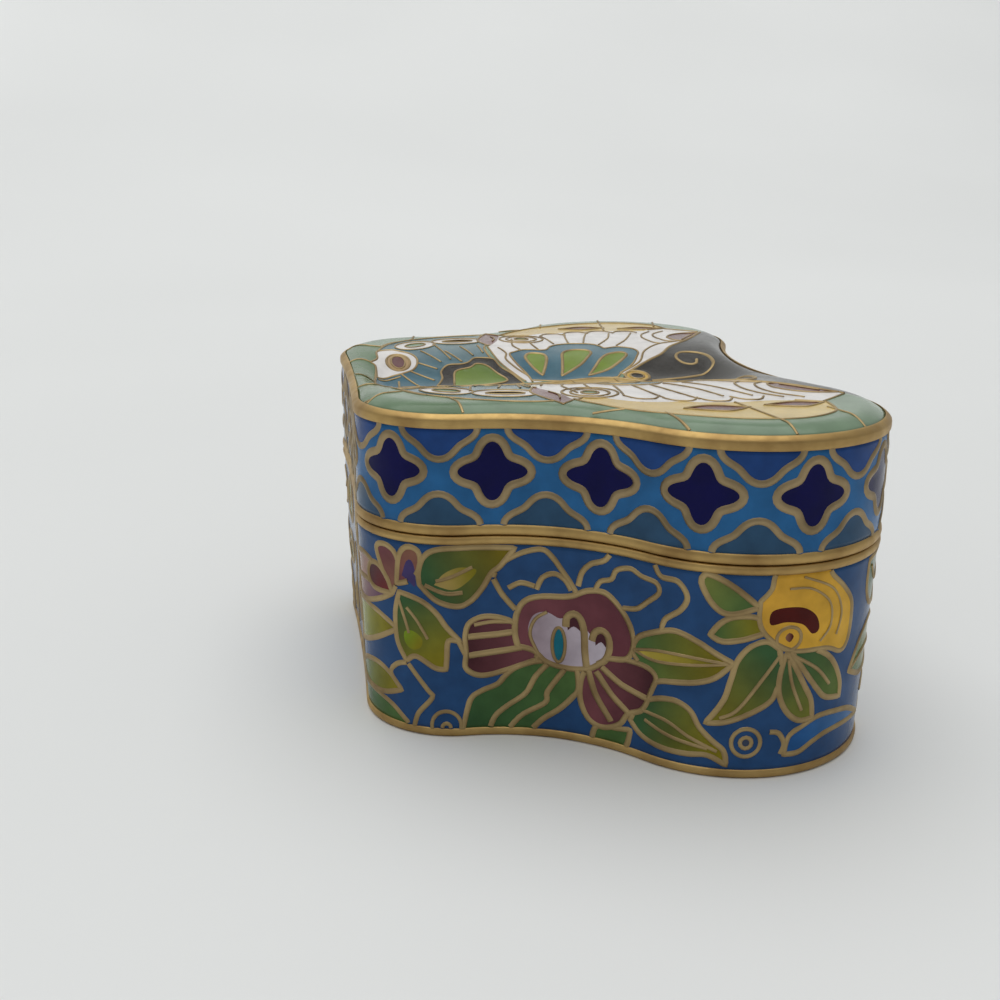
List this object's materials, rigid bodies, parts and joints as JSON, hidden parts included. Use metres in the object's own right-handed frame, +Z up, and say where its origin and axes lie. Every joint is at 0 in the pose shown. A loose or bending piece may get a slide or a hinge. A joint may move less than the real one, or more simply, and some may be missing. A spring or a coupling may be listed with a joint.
{
  "type": "cloisonne enamel box",
  "caption": "Butterfly-shaped cloisonne enamel trinket box with a domed lift-off lid, flowered blue wall, quatrefoil band and gilt rims.",
  "frame": {"origin": "on the table under the middle of the plan's bounding box", "axes": "+X towards the butterfly's head, +Y across its wings, +Z up"},
  "size_m": [0.0537, 0.0784, 0.0355],
  "materials": {
    "gilt_copper": "gilded copper sheet, burnished along the rims",
    "gilt_wire": "gilded cloisonne wire, ground nearly flush",
    "wall_enamel": "fired enamel, polished, flowers and leaves on blue",
    "band_enamel": "fired enamel, polished, cobalt quatrefoils on blue",
    "wing_enamel": "fired enamel, polished, a butterfly in many colours",
    "counter_enamel": "plain fired counter-enamel"
  },
  "bodies": {
    "root": {"box_body": "gilt_copper", "body_enamel": "wall_enamel", "base_enamel": "counter_enamel", "lid_shell": "gilt_copper", "lid_side_enamel": "band_enamel", "lid_top_enamel": "wing_enamel"}
  },
  "joints": []
}
